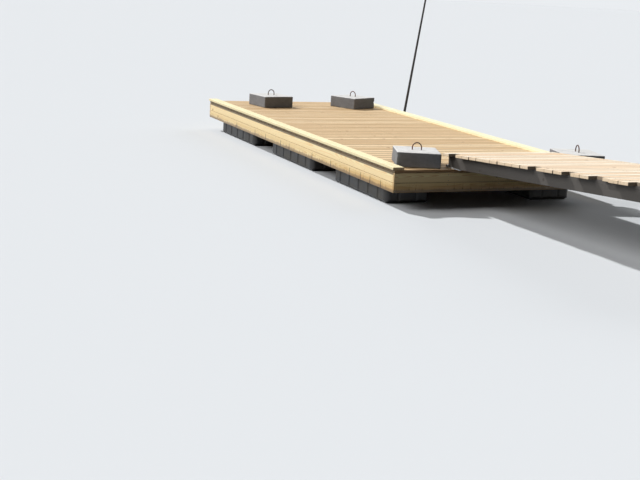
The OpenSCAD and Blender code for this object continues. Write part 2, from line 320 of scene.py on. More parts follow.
@dataclass(frozen=True)
class Timber:
    """Planed softwood: growth rings round a wandering pith, fibres, knots and thirsty end grain.

    A board carries three attributes. grain is the place in the wood, along, across and through. span is how
    far along from its middle, half its length, and its shade. width is how far across, and half its width.
    """

    early: Colour
    other: Colour
    late: Colour
    end: Colour = tone(206, 172, 124)
    ring: float = 0.0042
    late_share: float = 0.62
    pith_drift: float = 0.09
    knots: float = 0.4
    knot_core: Colour = tone(158, 104, 58)
    knot_rim: Colour = tone(96, 60, 34)
    knot_r: tuple[float, float] = (0.004, 0.015)
    knot_pull: float = 0.011
    cell: tuple[float, float] = (0.55, 0.15)
    # Painted shade: darkens each board's edges and its sides in the gaps, where shade falls.
    edge_shade: Colour = tone(138, 106, 70)
    edge_shade_share: float = 0.3
    edge_shade_reach: float = 0.008
    # Painted shade: a dark strip along a board's top edge, standing for the shadow under a trim's overhang.
    under_trim_shade: Colour = tone(112, 98, 78)
    under_trim_shade_band: float = 0.0
    under_trim_shade_fade: float = 0.002
    end_reach: tuple[float, float] = (0.0004, 0.003)
    # Painted shade: the ends of short boards are darker, standing for the shade in their notches.
    short_half: float = 0.0
    short_end_shade: Colour = tone(104, 92, 78)
    split_reach: float = 0.07
    depth: float = 0.0006
    roughness: float = 0.62

    def knot(self, made: Shader, grain: Socket) -> tuple[Socket, Socket, Socket]:
        """Places the knots.

        Args:
            made: The material.
            grain: The place in the wood.

        Returns:
            The knots' core, their dark rim, and how far they pull the rings round them.
        """
        per_metre = (1 / self.cell[0], 1 / self.cell[1], 0.0)
        cells = made.cells(grain, per_metre, flat=True)
        scaled = made.vector("MULTIPLY", grain, per_metre)
        away = made.vector("SUBTRACT", scaled, cells.outputs["Position"])
        distance = made.vector("LENGTH", made.vector("MULTIPLY", away, (*self.cell, 0.0)))
        chance, size, _ = made.split(cells.outputs["Color"])
        there = made.maths("LESS_THAN", chance, self.knots)
        least, most = self.knot_r
        share = made.maths("DIVIDE", distance, made.scaled(size, most - least, least))
        core = made.times(there, made.fade(share, 0.9, 1.1))
        rim = made.times(made.ease(share, 0.7, 1.0), made.fade(share, 1.0, 1.35))
        pull = made.times(there, made.fade(share, 0.4, 4.5))
        return core, made.times(there, rim), pull

    def rings(self, made: Shader, grain: Socket, pull: Socket) -> Socket:
        """Places the growth rings.

        Args:
            made: The material.
            grain: The place in the wood.
            pull: How far the knots pull the rings, from 0 to 1.

        Returns:
            Where late wood is, the dark part of each ring.
        """
        drift = made.split(made.noise(grain, (0.5, 2.5, 2.5), 1.0).outputs["Color"])
        _, across, through = made.split(grain)
        across = made.plus(across, made.scaled(drift[0], self.pith_drift, -self.pith_drift / 2))
        through = made.plus(through, made.scaled(drift[1], self.pith_drift, -self.pith_drift / 2))
        squares = made.plus(made.times(across, across), made.times(through, through))
        reach = made.scaled(pull, self.knot_pull, made.maths("SQRT", squares))
        wobble = made.lumps(grain, (3.0, 28.0, 28.0))
        phase = made.maths("FRACT", made.plus(made.maths("DIVIDE", reach, self.ring), wobble))
        return made.times(made.ease(phase, 0.3, 0.85), made.fade(phase, 0.88, 1.0))

    def surface(self, made: Shader) -> tuple[Socket, Socket]:
        """Builds the wood.

        Args:
            made: The material.

        Returns:
            Its colour and its height.
        """
        grain = made.attribute("grain")
        along, half_length, board = made.split(made.attribute("span"))
        across, half_width, _ = made.split(made.attribute("width"))
        core, rim, pull = self.knot(made, grain)
        late = self.rings(made, grain, pull)
        fibres = made.lumps(grain, (5.0, 420.0, 420.0), 3.0)
        clouds = made.lumps(grain, (1.3, 6.0, 6.0))
        colour = made.mix(board, self.early, self.other)
        colour = made.mix(made.times(late, self.late_share), colour, self.late)
        colour = made.shaded(colour, fibres, 0.22, 0.89)
        colour = made.shaded(colour, clouds, 0.2, 0.9)
        colour = made.mix(core, colour, self.knot_core)
        colour = made.mix(made.times(rim, 0.75), colour, self.knot_rim)
        # Painted shade along the edges and over the sides in the gaps between boards.
        edge = made.less(half_width, made.maths("ABSOLUTE", across))
        edge_shade_reach = made.times(clouds, 2 * self.edge_shade_reach)
        colour = made.mix(made.fade(edge, 0.0, edge_shade_reach, self.edge_shade_share), colour, self.edge_shade)
        # Painted shade: darkens a strip along the top edge, as if in the trim's shadow.
        if self.under_trim_shade_band:
            under = made.less(half_width, across)
            under_trim_shade_band = made.fade(under, self.under_trim_shade_band, self.under_trim_shade_band + self.under_trim_shade_fade, 0.92)
            colour = made.mix(under_trim_shade_band, colour, self.under_trim_shade)
        inward = made.less(half_length, made.maths("ABSOLUTE", along))
        # Painted shade on the ends of short boards.
        short = made.maths("LESS_THAN", half_length, self.short_half)
        end = made.mix(short, self.end, self.short_end_shade)
        colour = made.mix(made.fade(inward, *self.end_reach, 0.85), colour, end)
        cracks = made.ease(made.lumps(grain, (4.0, 150.0, 20.0)), 0.66, 0.7)
        splits = made.times(cracks, made.fade(inward, 0.0, self.split_reach))
        colour = made.mix(made.times(splits, 0.8), colour, self.knot_rim)
        ridges = made.scaled(late, 0.35, made.times(fibres, 0.6))
        return colour, made.less(ridges, splits)

    def material(self, name: str) -> bpy.types.Material:
        """Makes the material."""
        made = Shader(name, self.roughness)
        return made.finish(*self.surface(made), self.depth)


@dataclass(frozen=True)
class LappedTimber(Timber):
    """Softwood that water laps against: wet and dark at its foot, with stains that reach up from it."""

    wet: Colour = tone(126, 98, 62)
    damp: Colour = tone(208, 170, 108)
    stain: Colour = tone(62, 46, 30)
    stain_places: tuple[float, ...] = (0.28, 0.52, 0.74, 1.01, 1.49, 2.0, 2.68, 2.95, 3.45, 3.82, 4.5)
    stain_half: float = 0.013
    stain_shift: float = -0.41
    low_lap: float = 0.029
    lap: float = 0.04
    spike: float = 0.034
    soaked: float = 0.075
    damp_to: tuple[float, float] = (0.7, 2.0)
    far_damp: float = 0.35
    wet_shine: float = 0.25
    near_end: float = 0.0

    def lapped(self, made: Shader, run: Socket) -> Socket:
        """Gives the height that water laps up to.

        Args:
            made: The material.
            run: How far along the side or the end.

        Returns:
            The height.
        """
        lap = made.lumps(made.grey(run), (4.0, 0.0, 0.0), 3.0)
        spikes = made.ease(made.lumps(made.grey(run), (42.0, 0.0, 0.0), 4.0), 0.5, 0.8)
        return made.scaled(spikes, self.spike, made.scaled(lap, self.lap, WATER - self.low_lap))

    def stains(self, made: Shader, sway: Socket) -> Socket:
        """Places the stains, which narrow upwards, at their distances from the near end.

        Args:
            made: The material.
            sway: A pattern, from 0 to 1, that keeps them from being straight.

        Returns:
            Where the stains are.
        """
        x, y, z = made.split(made.place)
        narrow = made.ease(z, WATER - 0.02, WATER + 0.05, 1.0, 0.35)
        tall = made.fade(z, WATER + 0.025, WATER + 0.055, 0.85)
        row = made.scaled(made.maths("GREATER_THAN", x, 0.0), self.stain_shift, y)
        stains = 0.0
        for place in self.stain_places:
            away = made.maths("ABSOLUTE", made.less(row, self.near_end + place))
            away = made.scaled(sway, 0.002, made.maths("DIVIDE", away, narrow))
            line = made.fade(away, self.stain_half * 0.4, self.stain_half)
            stains = made.maths("MAXIMUM", stains, made.times(line, tall))
        return stains

    def material(self, name: str) -> bpy.types.Material:
        """Makes the material.

        Args:
            name: Its name.

        Returns:
            The material.
        """
        made = Shader(name, self.roughness)
        colour, height = self.surface(made)
        x, y, z = made.split(made.place)
        sway = made.lumps(made.place, (5.0, 5.0, 45.0))
        level = made.less(z, self.lapped(made, made.scaled(sway, 0.008, made.plus(x, y))))
        damp_from, damp_to = (self.near_end + reach for reach in self.damp_to)
        share = made.ease(y, damp_from, damp_to, 1.0, self.far_damp)
        dry = made.times(share, made.ease(level, -0.005, self.soaked))
        colour = made.mix(made.less(share, dry), colour, self.damp)
        colour = made.mix(made.fade(level, -0.014, 0.01, 0.8), colour, self.wet)
        colour = made.mix(self.stains(made, sway), colour, self.stain)
        shine = made.ease(level, 0.0, 0.02, self.wet_shine, self.roughness)
        return made.finish(colour, height, self.depth, shine)


@dataclass(frozen=True)
class Concrete:
    """Cast concrete: a pale trowelled top, darker sides that are painted shade, pores and sandy grit."""

    top: Colour = tone(214, 213, 211)
    # Painted shade: the sides' darker, slightly bluish tone stands for faces in shade.
    side: Colour = tone(114, 115, 118)
    pore: Colour = tone(52, 50, 48)
    pores: float = 0.22
    pore_cells: float = 105.0
    depth: float = 0.0016
    roughness: float = 0.88

    def material(self, name: str) -> bpy.types.Material:
        """Makes the material.

        Args:
            name: Its name.

        Returns:
            The material.
        """
        made = Shader(name, self.roughness)
        normal = made.split(made.node("ShaderNodeNewGeometry").outputs["Normal"])
        clouds = made.lumps(made.place, (9.0, 9.0, 14.0), 5.0)
        blots = made.lumps(made.place, (38.0, 38.0, 52.0), 4.0)
        sand = made.lumps(made.place, (420.0,) * 3, 2.0)
        # Painted shade: faces that turn away from up take the side tone.
        upper = made.plus(normal[2], made.scaled(blots, 0.5, -0.25))
        colour = made.mix(made.ease(upper, 0.45, 0.8), self.side, self.top)
        for pattern, swing, least in ((clouds, 0.5, 0.75), (blots, 0.34, 0.84), (sand, 0.3, 0.86)):
            colour = made.shaded(colour, pattern, swing, least)
        cells = made.cells(made.place, (self.pore_cells,) * 3)
        chance, size, _ = made.split(cells.outputs["Color"])
        share = made.maths("DIVIDE", cells.outputs["Distance"], made.scaled(size, 0.22, 0.06))
        there = made.maths("LESS_THAN", chance, self.pores)
        pores = made.times(made.fade(share, 0.8, 1.05), there)
        colour = made.mix(made.times(pores, 0.75), colour, self.pore)
        height = made.scaled(sand, 0.25, made.times(blots, 0.5))
        return made.finish(colour, made.less(height, pores), self.depth)


@dataclass(frozen=True)
class Steel:
    """Steel with a grain of two tones and patches that have rusted or gone dull."""

    first: Colour
    second: Colour
    patch: Colour
    grain: float
    patch_from: float
    metallic: float
    smooth: float
    rough: float
    depth: float

    def material(self, name: str) -> bpy.types.Material:
        """Makes the material.

        Args:
            name: Its name.

        Returns:
            The material.
        """
        made = Shader(name, self.rough, self.metallic)
        chance = made.split(made.cells(made.place, (self.grain,) * 3).outputs["Color"])[0]
        blots = made.lumps(made.place, (46.0,) * 3, 5.0)
        patches = made.ease(blots, self.patch_from, self.patch_from + 0.09)
        colour = made.mix(chance, self.first, self.second)
        colour = made.mix(patches, colour, self.patch)
        height = made.plus(made.lumps(made.place, (300.0,) * 3, 3.0), patches)
        dull = made.plus(patches, made.times(chance, 0.3))
        return made.finish(colour, height, self.depth, made.ease(dull, 0.0, 1.3, self.smooth, self.rough))


@dataclass(frozen=True)
class Plastic:
    """Moulded plastic: a dull skin with fine pimples, scuffed in places and silty below water."""

    skin: Colour = tone(46, 48, 52)
    scuff: Colour = tone(92, 94, 96)
    silt: Colour = tone(112, 104, 88)
    smooth: float = 0.42
    rough: float = 0.6
    depth: float = 0.0004
    roughness: float = 0.5

    def material(self, name: str) -> bpy.types.Material:
        """Makes the material.

        Args:
            name: Its name.

        Returns:
            The material.
        """
        made = Shader(name, self.roughness)
        clouds = made.lumps(made.place, (5.0, 5.0, 8.0), 4.0)
        scratches = made.ease(made.lumps(made.place, (9.0, 9.0, 160.0), 4.0), 0.62, 0.72)
        colour = made.mix(made.times(scratches, 0.35), self.skin, self.scuff)
        edge = made.scaled(clouds, 0.06, made.split(made.place)[2])
        silt = made.fade(edge, WATER - 0.05, WATER + 0.04, 0.3)
        colour = made.mix(made.times(silt, made.ease(clouds, 0.3, 0.7)), colour, self.silt)
        pimples = made.lumps(made.place, (520.0,) * 3, 1.0)
        shine = made.ease(clouds, 0.3, 0.7, self.smooth, self.rough)
        return made.finish(colour, pimples, self.depth, shine)


@dataclass(frozen=True)
class TarredPole:
    """A debarked and tarred round pole, with the fibres along it and cracks where it has dried."""

    tar: Colour = tone(30, 27, 27)
    bare: Colour = tone(74, 62, 54)
    crack: Colour = tone(10, 9, 9)
    depth: float = 0.001
    roughness: float = 0.55

    def material(self, name: str) -> bpy.types.Material:
        """Makes the material.

        Args:
            name: Its name.

        Returns:
            The material.
        """
        made = Shader(name, self.roughness)
        grain = made.attribute("grain")
        fibres = made.lumps(grain, (3.0, 230.0, 230.0), 3.0)
        worn = made.ease(made.lumps(grain, (2.2, 40.0, 40.0), 4.0), 0.56, 0.7)
        cracks = made.ease(made.lumps(grain, (1.6, 90.0, 90.0)), 0.64, 0.67)
        colour = made.mix(made.times(worn, 0.6), self.tar, self.bare)
        colour = made.shaded(colour, fibres, 0.6, 0.7)
        colour = made.mix(cracks, colour, self.crack)
        return made.finish(colour, made.less(fibres, cracks), self.depth)


class Finish(Enum):
    """The finishes, each under its material's name, which is also its slot's."""

    DECK = "deck_wood"
    TRIM = "trim_wood"
    FASCIA = "fascia_wood"
    LAPPED = "lapped_wood"
    FRAME = "frame_wood"
    GANGWAY = "gangway_wood"
    # Wood darkened with painted shade.
    SHADED_STRINGER = "stringer_wood"
    FLOAT = "float_plastic"
    CONCRETE = "concrete"
    LOOP = "loop_steel"
    GALVANISED = "galvanised_steel"
    PIN = "pin_steel"
    POLE = "pole_wood"
    SCREW = "screw_steel"


class Paintbox:
    """Makes each finish once and hands it out."""

    def __init__(self, near_end: float) -> None:
        """Sets the finishes up.

        Args:
            near_end: Y of the pontoon's near end, which the stains are measured from.
        """
        self.finishes: dict[Finish, Timber | Concrete | Steel | Plastic | TarredPole] = {
            # The deck boards' dark ends are partly end grain and partly painted shade under the trims.
            Finish.DECK: Timber(
                early=tone(241, 217, 176), other=tone(207, 175, 129), late=tone(188, 148, 101),
                end=tone(118, 102, 80), edge_shade_share=0.92, edge_shade_reach=0.016,
            ),
            Finish.TRIM: Timber(
                early=tone(255, 250, 216), other=tone(255, 243, 200), late=tone(236, 208, 146),
                knots=0.12, edge_shade_share=0.12,
            ),
            # The upper fascias carry a strip of painted shade along their tops, for the trims' shadow.
            Finish.FASCIA: Timber(
                early=tone(255, 236, 188), other=tone(255, 228, 174), late=tone(246, 204, 142),
                edge_shade_share=0.15, under_trim_shade_band=0.018,
            ),
            Finish.LAPPED: LappedTimber(
                early=tone(255, 234, 184), other=tone(250, 226, 170), late=tone(218, 176, 112),
                near_end=near_end,
            ),
            Finish.FRAME: Timber(
                early=tone(206, 176, 128), other=tone(190, 162, 114), late=tone(156, 122, 78)
            ),
            # The short boards' ends carry painted shade, and so does the dark edge tone.
            Finish.GANGWAY: Timber(
                early=tone(255, 246, 226), other=tone(240, 210, 174), late=tone(214, 178, 136),
                end=tone(226, 203, 172), edge_shade=tone(112, 98, 80), edge_shade_share=0.9, edge_shade_reach=0.014,
                short_half=0.645,
            ),
            # Painted shade: the stringers and noggins are darkened to stand for the shade under the
            # gangway's boards.
            Finish.SHADED_STRINGER: Timber(
                early=tone(79, 74, 69), other=tone(71, 67, 63), late=tone(53, 49, 45),
                end=tone(96, 84, 68), knot_core=tone(52, 43, 35), knot_rim=tone(36, 30, 25), edge_shade_share=0.0,
            ),
            Finish.FLOAT: Plastic(),
            Finish.CONCRETE: Concrete(),
            Finish.LOOP: Steel(
                first=tone(58, 44, 38), second=tone(72, 52, 42), patch=tone(118, 66, 36), grain=260.0,
                patch_from=0.5, metallic=0.35, smooth=0.5, rough=0.85, depth=0.0005,
            ),
            Finish.GALVANISED: Steel(
                first=tone(232, 234, 236), second=tone(206, 210, 214), patch=tone(240, 240, 238),
                grain=110.0, patch_from=0.58, metallic=0.2, smooth=0.3, rough=0.55, depth=0.0001,
            ),
            Finish.PIN: Steel(
                first=tone(120, 122, 126), second=tone(98, 100, 104), patch=tone(126, 84, 52),
                grain=200.0, patch_from=0.6, metallic=0.8, smooth=0.35, rough=0.7, depth=0.0002,
            ),
            Finish.POLE: TarredPole(),
            Finish.SCREW: Steel(
                first=tone(168, 160, 142), second=tone(144, 138, 124), patch=tone(110, 96, 80),
                grain=400.0, patch_from=0.62, metallic=0.8, smooth=0.35, rough=0.6, depth=0.0001,
            ),
        }
        self.made: dict[Finish, bpy.types.Material] = {}

    def material(self, finish: Finish) -> bpy.types.Material:
        """Gives a finish's material, which is made when it is first asked for."""
        if finish not in self.made:
            self.made[finish] = self.finishes[finish].material(finish.value)
        return self.made[finish]


@dataclass(frozen=True)
class Stick:
    """A board, beam or block: its middle, half its size and its axes along, across and through."""

    middle: Vector
    half: Vector
    axes: Matrix

    @classmethod
    def measured(cls, corners: Sequence[Corner]) -> "Stick":
        """Measures a loose part of a mesh by its longest edge and its widest face.

        Args:
            corners: The part's vertices.

        Returns:
            Its middle, half size and axes.
        """
        edges = dict.fromkeys(edge for corner in corners for edge in corner.link_edges)
        faces = dict.fromkeys(face for corner in corners for face in corner.link_faces)
        longest = max(edges, key=lambda edge: edge.calc_length())
        along = (longest.verts[1].co - longest.verts[0].co).normalized()
        along *= math.copysign(1.0, max(along, key=abs))
        through = max(faces, key=lambda face: face.calc_area()).normal.copy()
        through *= math.copysign(1.0, max(through, key=abs))
        axes = Matrix((along, through.cross(along), through)).transposed()
        spots = [axes.transposed() @ corner.co for corner in corners]
        low = Vector(min(spot[i] for spot in spots) for i in range(3))
        high = Vector(max(spot[i] for spot in spots) for i in range(3))
        return cls(axes @ ((low + high) / 2), (high - low) / 2, axes)

    def inside(self, place: Vector) -> Vector:
        """Gives a place in the stick's own axes, from its middle."""
        return self.axes.transposed() @ (place - self.middle)

    def place(self, along: float, across: float, through: float) -> Vector:
        """Gives the place that lies so far from the middle along each axis."""
        return self.middle + self.axes @ Vector((along, across, through))

    def frame_at(self, along: float, across: float, through: float) -> Matrix:
        """Gives the matrix that stands a fitting on the widest face, at a place given as for place()."""
        return Matrix.Translation(self.place(along, across, through)) @ self.axes.to_4x4()


@dataclass(frozen=True)
class Fault:
    """What sets a board apart: its grain's shift, its bend across and through, its short ends, its shade."""

    shift: Vector
    bend: tuple[float, float]
    lack: tuple[float, float]
    shade: float

    @classmethod
    def drawn(cls, chance: random.Random, bow: float, ragged: float) -> "Fault":
        """Draws a board's faults.

        Args:
            chance: The source of chance.
            bow: The most that the board may stray from straight.
            ragged: The most that its ends may lack.

        Returns:
            The faults.
        """
        shift = Vector((chance.uniform(0, 60), chance.uniform(-0.05, 0.05), chance.uniform(0.02, 0.1)))
        bend = (chance.uniform(-bow, bow), chance.uniform(-bow, 0.0))
        lack = (chance.uniform(0, ragged), chance.uniform(0, ragged))
        return cls(shift, bend, lack, chance.random())


def placed(name: str, data: bpy.types.ID) -> bpy.types.Object:
    """Makes an object of its data and links it into the scene.

    Args:
        name: The object's name.
        data: A mesh, a lamp or a camera.

    Returns:
        The object.
    """
    made = bpy.data.objects.new(name, data)
    bpy.context.scene.collection.objects.link(made)
    return made


def written(name: str, mesh: Mesh) -> bpy.types.Mesh:
    """Turns a mesh into mesh data and frees it.

    Args:
        name: The data's name.
        mesh: The mesh.

    Returns:
        The data.
    """
    data = bpy.data.meshes.new(name)
    mesh.to_mesh(data)
    mesh.free()
    return data


def corners_in(parts: Iterable[object]) -> list[Corner]:
    """Gives the vertices among parts of a mesh."""
    return [part for part in parts if isinstance(part, Corner)]


def edges_in(parts: Iterable[object]) -> list[Edge]:
    """Gives the edges among parts of a mesh."""
    return [part for part in parts if isinstance(part, Edge)]


def merged(frame: dict, node: str) -> Mesh:
    """Copies a construction node into a mesh, with its doubles merged and its flat faces whole.

    Args:
        node: The node's name.

    Returns:
        The mesh.
    """
    mesh = bmesh.new()
    mesh.from_mesh(frame["nodes"][node].data)
    bmesh.ops.remove_doubles(mesh, verts=mesh.verts, dist=1e-5)
    bmesh.ops.dissolve_limit(mesh, angle_limit=math.radians(1), verts=mesh.verts, edges=mesh.edges)
    return mesh


def loose_parts(mesh: Mesh) -> list[list[Corner]]:
    """Sorts a mesh's vertices into the parts that hang together.

    Args:
        mesh: The mesh.

    Returns:
        The vertices of each part, from the near end to the far one.
    """
    left = dict.fromkeys(mesh.verts)
    parts = []
    while left:
        first = next(iter(left))
        del left[first]
        part = [first]
        for corner in part:
            for edge in corner.link_edges:
                other = edge.other_vert(corner)
                if other in left:
                    del left[other]
                    part.append(other)
        parts.append(part)

    def middle(part: list[Corner]) -> list[float]:
        """Gives a part's middle to the millimetre, Y first."""
        return [round(sum(corner.co[i] for corner in part) / len(part), 3) for i in (1, 0, 2)]

    return sorted(parts, key=middle)


def rounded(mesh: Mesh, radius: float, segments: int = 2, angle: float = 30.0) -> None:
    """Rounds a mesh's sharp edges.

    Args:
        mesh: The mesh.
        radius: The radius.
        segments: The number of faces that each edge becomes.
        angle: The angle in degrees past which two faces meet in a sharp edge.
    """
    limit = math.radians(angle)
    sharp = [edge for edge in mesh.edges if edge.is_manifold and edge.calc_face_angle(0.0) > limit]
    bmesh.ops.bevel(
        mesh, geom=sharp, offset=radius, offset_type="OFFSET", segments=segments,
        profile=0.5, affect="EDGES", clamp_overlap=True, material=-1,
    )


def repeated(template: Mesh, places: Iterable[Matrix]) -> Mesh:
    """Stands a copy of a template at each place and takes the template itself away.

    Args:
        template: The template, made round the origin.
        places: The places.

    Returns:
        The template's mesh, which now holds the copies.
    """
    first = list(template.verts) + list(template.edges) + list(template.faces)
    for place in places:
        copy = bmesh.ops.duplicate(template, geom=first)["geom"]
        bmesh.ops.transform(template, matrix=place, verts=corners_in(copy))
    bmesh.ops.delete(template, geom=corners_in(first), context="VERTS")
    return template


def disc(mesh: Mesh, segments: int, radius: float, top: float, base: float, height: float) -> None:
    """Adds a short round or many-sided block.

    Args:
        mesh: The mesh that it is added to.
        segments: The number of its sides.
        radius: Its radius at its foot.
        top: Its radius at its top.
        base: The height of its foot.
        height: Its own height.
    """
    bmesh.ops.create_cone(
        mesh, cap_ends=True, segments=segments, radius1=radius, radius2=top, depth=height,
        matrix=Matrix.Translation((0, 0, base + height / 2)),
    )


@dataclass
class SubAssembly:
    """Pieces that ride on one body and are dressed from one paintbox."""

    frame: dict
    paints: Paintbox
    body: Body

    def add(
        self, name: str, mesh: Mesh, finish: Finish, nodes: Sequence[str] = (), smooth: float = 0.0
    ) -> None:
        """Turns a mesh into a piece that rides on the body and stands for its nodes.

        Args:
            name: The piece's name.
            mesh: Its mesh, which is freed.
            finish: Its finish.
            nodes: The construction nodes that it stands for.
            smooth: The angle in degrees up to which edges are shaded smooth, or 0 for flat faces.
        """
        for face in mesh.faces:
            face.smooth = smooth > 0
        data = written(name, mesh)
        data.materials.append(self.paints.material(finish))
        piece = placed(name, data)
        if smooth:
            data.set_sharp_from_angle(angle=math.radians(smooth))
            weighted = piece.modifiers.new("weighted_normals", "WEIGHTED_NORMAL")
            weighted.keep_sharp = True
        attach(piece, self.body.value)
        if nodes:
            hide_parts(*nodes)
        LOG.info("%s: %d faces", name, len(data.polygons))


@dataclass
class TimberWork(SubAssembly):
    """Boards and beams, each with its own grain, eased edges and slight faults, and their screws."""

    ease: float = 0.0025
    seed: int = 7
    sawn_from: float = 0.015
    screw_r: float = 0.0042
    screw_proud: float = 0.0008
    screw_sunk: float = 0.0007
    screw_taper: float = 0.9
    recess_rim: float = 0.42
    recess_dent: float = 0.72
    recess_depth: float = 0.8
    recess_draft: float = 0.0001

    def timber(
        self, name: str, node: str, finish: Finish, bow: float = 0.0, ragged: float = 0.0,
        cuts: int = 0, sawn: float = 0.0,
    ) -> list[Stick]:
        """Dresses a node as sawn and planed timber, kept within the node's own box.

        Args:
            name: The piece's name.
            node: The node, with one board or beam in each loose part.
            finish: Its finish.
            bow: How far the middle of a board may stray from straight.
            ragged: How much shorter than its node a board may be at each end.
            cuts: How many cuts a bowed board is bent at.
            sawn: How much further back a short board's left end is sawn, as a share of what it lacks.

        Returns:
            The boards or beams, from the near end to the far one.
        """
        chance = random.Random(f"{self.seed} {name}")
        mesh = merged(self.frame, node)
        mark = mesh.verts.layers.float.new("stick")
        sticks = []
        for part in loose_parts(mesh):
            for corner in part:
                corner[mark] = len(sticks)
            sticks.append(Stick.measured(part))
        if cuts:
            lengths = [stick.half.x for stick in sticks]
            long = [edge for edge in mesh.edges if edge.calc_length() > lengths[round(edge.verts[0][mark])]]
            bmesh.ops.subdivide_edges(mesh, edges=long, cuts=cuts, use_grid_fill=True)
        rounded(mesh, self.ease)
        grain = mesh.verts.layers.float_vector.new("grain")
        span = mesh.verts.layers.float_vector.new("span")
        width = mesh.verts.layers.float_vector.new("width")
        faults = [Fault.drawn(chance, bow, ragged) for _ in sticks]
        longest = max(stick.half.x for stick in sticks)
        lowest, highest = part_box(node)
        for corner in mesh.verts:
            number = round(corner[mark])
            stick, fault = sticks[number], faults[number]
            spot = stick.inside(corner.co)
            corner[grain] = spot + fault.shift
            corner[span] = (spot.x, stick.half.x, fault.shade)
            corner[width] = (spot.y, stick.half.y, 0.0)
            if abs(spot.x) > stick.half.x - 2 * self.ease:
                spot.x -= math.copysign(fault.lack[spot.x > 0], spot.x)
                shortness = 2 * (longest - stick.half.x)
                if spot.x < 0 and shortness > self.sawn_from:
                    spot.x += sawn * shortness
            slack = 1 - (spot.x / stick.half.x) ** 2
            bent = stick.place(spot.x, spot.y + fault.bend[0] * slack, spot.z + fault.bend[1] * slack)
            corner.co = Vector(min(max(bent[i], lowest[i]), highest[i]) for i in range(3))
        mesh.verts.layers.float.remove(mesh.verts.layers.float["stick"])
        self.add(name, mesh, finish, [node])
        return sticks

    def screw(self) -> Mesh:
        """Makes one screw head with a six-sided recess, standing on z = 0.

        Returns:
            Its mesh.
        """
        mesh = bmesh.new()
        disc(mesh, 12, self.screw_r, self.screw_r * self.screw_taper, 0.0, self.screw_proud)
        top = [face for face in mesh.faces if face.normal.z > 0.9]
        bmesh.ops.inset_region(
            mesh, faces=top, thickness=self.screw_r * self.recess_rim, use_even_offset=True
        )
        for number, corner in enumerate(top[0].verts):
            if number % 2:
                corner.co.xy *= self.recess_dent
        bmesh.ops.inset_region(
            mesh, faces=top, thickness=self.recess_draft, depth=-self.screw_proud * self.recess_depth
        )
        return mesh

    @staticmethod
    def screwed(
        board: Stick, along: float, across: float, through: float, stray: float, chance: random.Random,
        outward: int = 1,
    ) -> Matrix:
        """Places a screw near a spot on a board, turned at random.

        Args:
            board: The board.
            along: How far along the board the spot is, from its middle.
            across: How far across.
            through: How far through.
            stray: How far across the screw may stray. Along the board it is twice as much.
            chance: The source of chance.
            outward: 1 for a screw on the face that the board's third axis leaves by, -1 for the other.

        Returns:
            The screw's place.
        """
        across += chance.uniform(-stray, stray)
        spot = board.frame_at(along + chance.uniform(-2 * stray, 2 * stray), across, through)
        facing = Matrix.Identity(4) if outward > 0 else Matrix.Rotation(math.pi, 4, "X")
        return spot @ facing @ Matrix.Rotation(chance.uniform(0, math.pi), 4, "Z")

    def crossing_screws(
        self, boards: Sequence[Stick], bearers: Sequence[Stick], inset: float, stray: float = 0.004
    ) -> list[Matrix]:
        """Places two screws where each board crosses each bearer under it.

        Args:
            boards: The boards.
            bearers: The beams that carry them.
            inset: The distance from a board's edge to its screws.
            stray: How far across a screw may stray.

        Returns:
            The places of the screws.
        """
        chance = random.Random(self.seed)
        places = []
        for board in boards:
            for bearer in bearers:
                along = board.inside(bearer.middle).x
                if abs(along) > board.half.x - inset:
                    continue
                for side in (-1, 1):
                    across = side * (board.half.y - inset)
                    places.append(self.screwed(board, along, across, board.half.z, stray, chance))
        return places

    def paired_screws(
        self, board: Stick, pitch: float, inset: float, outward: int = 1, stray: float = 0.003
    ) -> list[Matrix]:
        """Places pairs of screws along a board.

        Args:
            board: The board.
            pitch: The distance from pair to pair, which is fitted to the board.
            inset: The distance from the board's edges.
            outward: 1 for screws on the face that its third axis leaves by, -1 for the other.
            stray: How far across a screw may stray.

        Returns:
            The places of the screws.
        """
        chance = random.Random(self.seed + 1)
        count = round(2 * (board.half.x - inset) / pitch)
        out = outward * (board.half.z - self.screw_sunk)
        places = []
        for number in range(count + 1):
            along = (2 * number / count - 1) * (board.half.x - inset)
            for side in (-1, 1):
                across = side * (board.half.y - inset)
                places.append(self.screwed(board, along, across, out, stray, chance, outward))
        return places

    def screws(self, name: str, places: Sequence[Matrix]) -> None:
        """Makes one piece of all the screws at the places given."""
        self.add(name, repeated(self.screw(), places), Finish.SCREW)


@dataclass
class Deck(TimberWork):
    """The pontoon's boards: deck, edge trims and fascias."""

    ease: float = 0.0038
    inset: float = 0.026
    fascia_inset: float = 0.0182
    trim_pitch: float = 0.5
    side_pitch: float = 0.6
    end_pitch: float = 0.55

    def build(self, joists: Sequence[Stick]) -> None:
        """Builds the boards and their screws.

        Args:
            joists: The joists that the deck's screws go into.
        """
        boards = []
        for group in ("near", "middle", "far"):
            boards += self.timber(
                f"deck_planks_{group}", f"deck_boards_{group}", Finish.DECK,
                bow=0.0012, ragged=0.004, cuts=6,
            )
        self.screws("deck_screws", self.crossing_screws(boards, joists, self.inset))
        places = []
        for side, outward in (("left", -1), ("right", 1)):
            trim = self.timber(f"{side}_trim_board", f"{side}_trim", Finish.TRIM, bow=0.0015, cuts=9)[0]
            places += self.paired_screws(trim, self.trim_pitch, self.inset)
            for row, finish in (("upper", Finish.FASCIA), ("lower", Finish.LAPPED)):
                node = f"{side}_fascia_{row}"
                board = self.timber(f"{node}_board", node, finish, bow=0.001, cuts=9)[0]
                places += self.paired_screws(board, self.side_pitch, self.fascia_inset, outward)
        for end, outward in (("near", -1), ("far", 1)):
            for board in self.timber(f"{end}_fascia_boards", f"{end}_fascia", Finish.LAPPED):
                places += self.paired_screws(board, self.end_pitch, self.fascia_inset, outward)
        self.screws("edge_screws", places)


